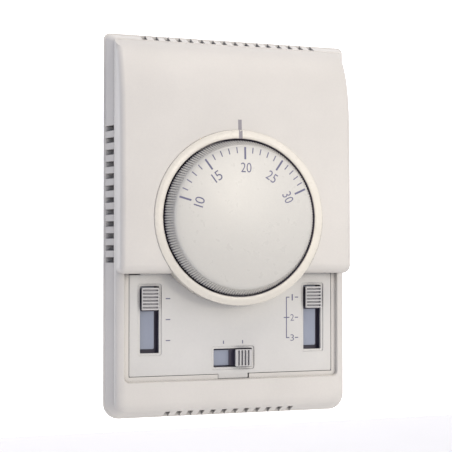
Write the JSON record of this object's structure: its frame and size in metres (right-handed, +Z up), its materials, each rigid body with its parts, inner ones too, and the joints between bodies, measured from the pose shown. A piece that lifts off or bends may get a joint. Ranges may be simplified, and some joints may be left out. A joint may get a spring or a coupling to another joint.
{
  "type": "wall thermostat",
  "caption": "Wall room thermostat with a hooded cover, a turning setpoint dial in a round bezel, and slide switches for mode, fan speed and power.",
  "frame": {"origin": "centre of the flat back face, in the plane of the wall", "axes": "+Z up, +X to the viewer's right, +Y into the wall; the front faces -Y"},
  "size_m": [0.0866, 0.0229, 0.13],
  "materials": {
    "ivory_moulding": "fine satin moulding",
    "cream_moulding": "smooth satin moulding",
    "panel_moulding": "fine satin moulding",
    "switch_grey": "satin",
    "black_plastic": "matt",
    "natural_plastic": "satin",
    "board_green": "solder-resist gloss",
    "steel": "zinc-plated",
    "brass": "bright",
    "copper_alloy": "drawn, satin",
    "resistor_ceramic": "matt ceramic"
  },
  "bodies": {
    "housing": {"rear_base": "ivory_moulding", "front_cover": "ivory_moulding", "dial_bezel": "cream_moulding", "control_panel": "panel_moulding", "mode_switch_body": "black_plastic", "fan_switch_body": "black_plastic", "power_switch_body": "black_plastic", "snap_switch_body": "black_plastic", "terminal_block": "natural_plastic", "circuit_board": "board_green", "mechanism_frame": "steel", "range_spring": "steel", "cam_lever_pin": "steel", "sensing_lever_pin": "steel", "bezel_post_left": "steel", "bezel_post_right": "steel", "bezel_screw_left": "steel", "bezel_screw_right": "steel", "limit_pin_low": "steel", "limit_pin_high": "steel", "frame_screw_1": "steel", "frame_screw_2": "steel", "frame_screw_3": "steel", "frame_screw_4": "steel", "board_screw_1": "steel", "board_screw_2": "steel", "board_screw_3": "steel", "board_screw_4": "steel", "terminal_screw_1": "steel", "terminal_screw_2": "steel", "terminal_screw_3": "steel", "terminal_screw_4": "steel", "terminal_screw_5": "steel", "terminal_screw_6": "steel", "shaft_bush": "brass", "calibration_screw": "brass", "sensing_bellows": "copper_alloy", "heater_resistor": "resistor_ceramic"},
    "dial": {"dial_knob": "cream_moulding", "dial_shaft": "natural_plastic", "dial_cam": "natural_plastic", "shaft_retaining_ring": "steel"},
    "cam_lever_body": {"cam_lever": "brass"},
    "sensing_lever_body": {"sensing_lever": "brass"},
    "plunger_body": {"snap_switch_plunger": "natural_plastic"},
    "mode_slider": {"mode_slider_cap": "cream_moulding", "mode_slider_actuator": "black_plastic", "mode_slider_shutter": "switch_grey"},
    "fan_slider": {"fan_slider_cap": "cream_moulding", "fan_slider_actuator": "black_plastic", "fan_slider_shutter": "switch_grey"},
    "power_slider": {"power_slider_cap": "cream_moulding", "power_slider_actuator": "black_plastic", "power_slider_shutter": "switch_grey"}
  },
  "joints": [
    {"name": "dial_turn", "type": "hinge", "parent": "housing", "child": "dial", "pos_m": [0, -0.01, 0.00255], "axis": [0, -1, 0], "range_deg": [-74, 66]},
    {"name": "cam_lever_swing", "type": "hinge", "parent": "housing", "child": "cam_lever_body", "pos_m": [-0.02, -0.0064, 0.012], "axis": [0, -1, 0], "range_deg": [-3, 2.7], "deforming": ["range_spring"]},
    {"name": "sensing_lever_swing", "type": "hinge", "parent": "housing", "child": "sensing_lever_body", "pos_m": [-0.02, -0.0064, 0.0297], "axis": [0, 1, 0], "range_deg": [0, 0.65], "stiffness_Nm_per_rad": 0.05, "springref_deg": -1.15},
    {"name": "plunger_press", "type": "slide", "parent": "housing", "child": "plunger_body", "axis": [0, 0, -1], "range_m": [0, 0.0005]},
    {"name": "mode_slide", "type": "slide", "parent": "housing", "child": "mode_slider", "axis": [0, 0, -1], "range_m": [0, 0.014]},
    {"name": "fan_slide", "type": "slide", "parent": "housing", "child": "fan_slider", "axis": [0, 0, -1], "range_m": [0, 0.014]},
    {"name": "power_slide", "type": "slide", "parent": "housing", "child": "power_slider", "axis": [-1, 0, 0], "range_m": [0, 0.0068]}
  ],
  "couplings": [
    {"joint": "cam_lever_swing", "follows": "dial_turn", "ratio": 0.04},
    {"joint": "plunger_press", "follows": "sensing_lever_swing", "m_per_rad": 0.04}
  ]
}
